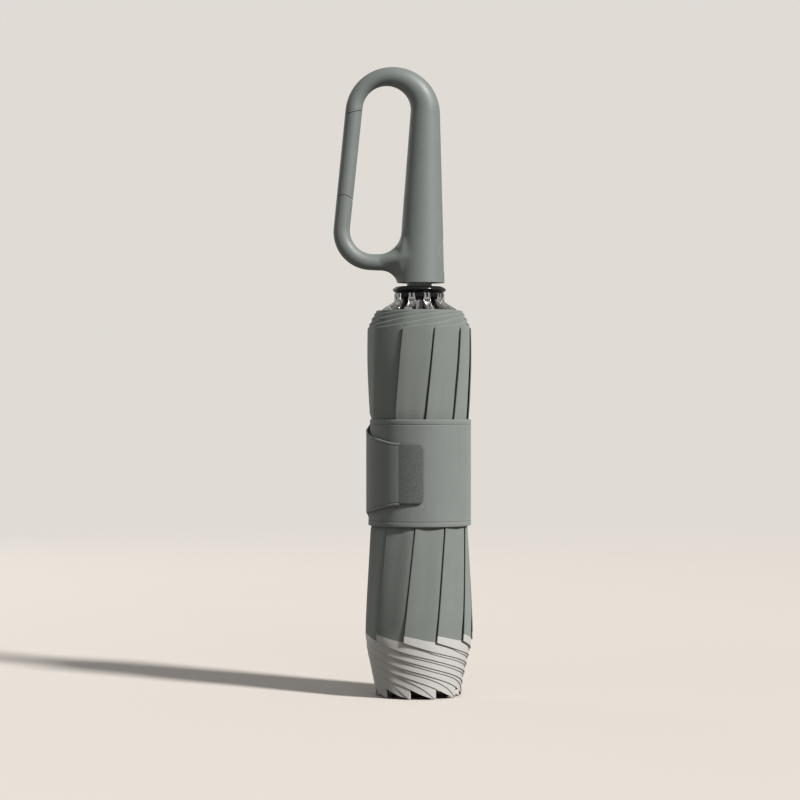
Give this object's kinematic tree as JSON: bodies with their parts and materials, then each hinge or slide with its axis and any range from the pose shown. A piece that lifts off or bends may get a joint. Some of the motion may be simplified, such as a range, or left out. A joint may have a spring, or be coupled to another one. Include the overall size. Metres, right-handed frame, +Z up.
{
  "type": "windproof umbrella",
  "caption": "Closed automatic reverse-folding windproof umbrella: wound pleated canopy with reflective rim, strapped round a telescoping shaft, with a gated ring handle.",
  "frame": {"origin": "on the shaft's axis, in the plane that the crown cap and the rib tips stand on", "axes": "+Z up along the shaft towards the handle, -X towards the ring's gate side, -Y to the front of the picture"},
  "size_m": [0.0697, 0.0543, 0.3141],
  "materials": {
    "canopy_cloth": "matte woven polyester, water-repellent, grey-green",
    "reflective_trim": "retro-reflective tape sewn along the rim, pale grey",
    "strap_cloth": "matte woven polyester, hemmed edges",
    "rubber_patch": "moulded soft rubber, fine grain, bare",
    "hook_and_loop": "black hook-and-loop tape",
    "gloss_black_plastic": "moulded, glossy",
    "soft_touch_plastic": "soft-touch coat, satin, grey-green",
    "plated_steel": "bright nickel plate",
    "black_steel": "black electrocoat on steel",
    "glass_fibre": "pultruded glass fibre, black"
  },
  "bodies": {
    "canopy_frame": {"canopy": "canopy_cloth", "canopy_trim": "reflective_trim", "strap_band": "strap_cloth", "loop_pad": "hook_and_loop", "runner_cap": "gloss_black_plastic", "runner_hub": "gloss_black_plastic", "runner_wire": "plated_steel", "crown": "gloss_black_plastic", "crown_cap": "gloss_black_plastic", "inner_tube": "plated_steel", "drive_spring": "plated_steel", "stretcher_01": "plated_steel", "stretcher_02": "plated_steel", "stretcher_03": "plated_steel", "stretcher_04": "plated_steel", "stretcher_05": "plated_steel", "stretcher_06": "plated_steel", "stretcher_07": "plated_steel", "stretcher_08": "plated_steel", "stretcher_09": "plated_steel", "stretcher_10": "plated_steel", "inner_rib_01": "black_steel", "inner_rib_02": "black_steel", "inner_rib_03": "black_steel", "inner_rib_04": "black_steel", "inner_rib_05": "black_steel", "inner_rib_06": "black_steel", "inner_rib_07": "black_steel", "inner_rib_08": "black_steel", "inner_rib_09": "black_steel", "inner_rib_10": "black_steel", "outer_rib_01": "glass_fibre", "outer_rib_02": "glass_fibre", "outer_rib_03": "glass_fibre", "outer_rib_04": "glass_fibre", "outer_rib_05": "glass_fibre", "outer_rib_06": "glass_fibre", "outer_rib_07": "glass_fibre", "outer_rib_08": "glass_fibre", "outer_rib_09": "glass_fibre", "outer_rib_10": "glass_fibre"},
    "middle_shaft": {"middle_tube": "plated_steel"},
    "handle": {"handle_ring": "soft_touch_plastic", "neck_collar": "soft_touch_plastic", "outer_tube": "plated_steel", "tube_pin": "plated_steel", "gate_pin": "plated_steel", "gate_plunger": "plated_steel", "gate_spring": "plated_steel", "button_spring": "plated_steel"},
    "gate": {"gate": "soft_touch_plastic"},
    "push_button": {"push_button": "soft_touch_plastic", "latch_plate": "black_steel"},
    "strap_tab": {"strap_tab": "strap_cloth", "strap_patch": "rubber_patch", "hook_pad": "hook_and_loop"}
  },
  "joints": [
    {"name": "shaft_lower_slide", "type": "slide", "parent": "canopy_frame", "child": "middle_shaft", "axis": [0, 0, 1], "range_m": [0, 0.155]},
    {"name": "shaft_upper_slide", "type": "slide", "parent": "middle_shaft", "child": "handle", "axis": [0, 0, 1], "range_m": [0, 0.155]},
    {"name": "gate_hinge", "type": "hinge", "parent": "handle", "child": "gate", "pos_m": [-0.03805, 0, 0.2446], "axis": [0, 1, 0], "range_deg": [0, 28], "stiffness_Nm_per_rad": 0.1, "springref_deg": -9.74},
    {"name": "button_slide", "type": "slide", "parent": "handle", "child": "push_button", "axis": [-1, 0, 0], "range_m": [0, 0.0016], "stiffness_N_per_m": 300, "springref_m": -0.001, "deforming": ["button_spring"]},
    {"name": "strap_tab_hinge", "type": "hinge", "parent": "canopy_frame", "child": "strap_tab", "pos_m": [-0.02685, 0, 0.1123], "axis": [0, 0, -1], "range_deg": [0, 75]}
  ]
}
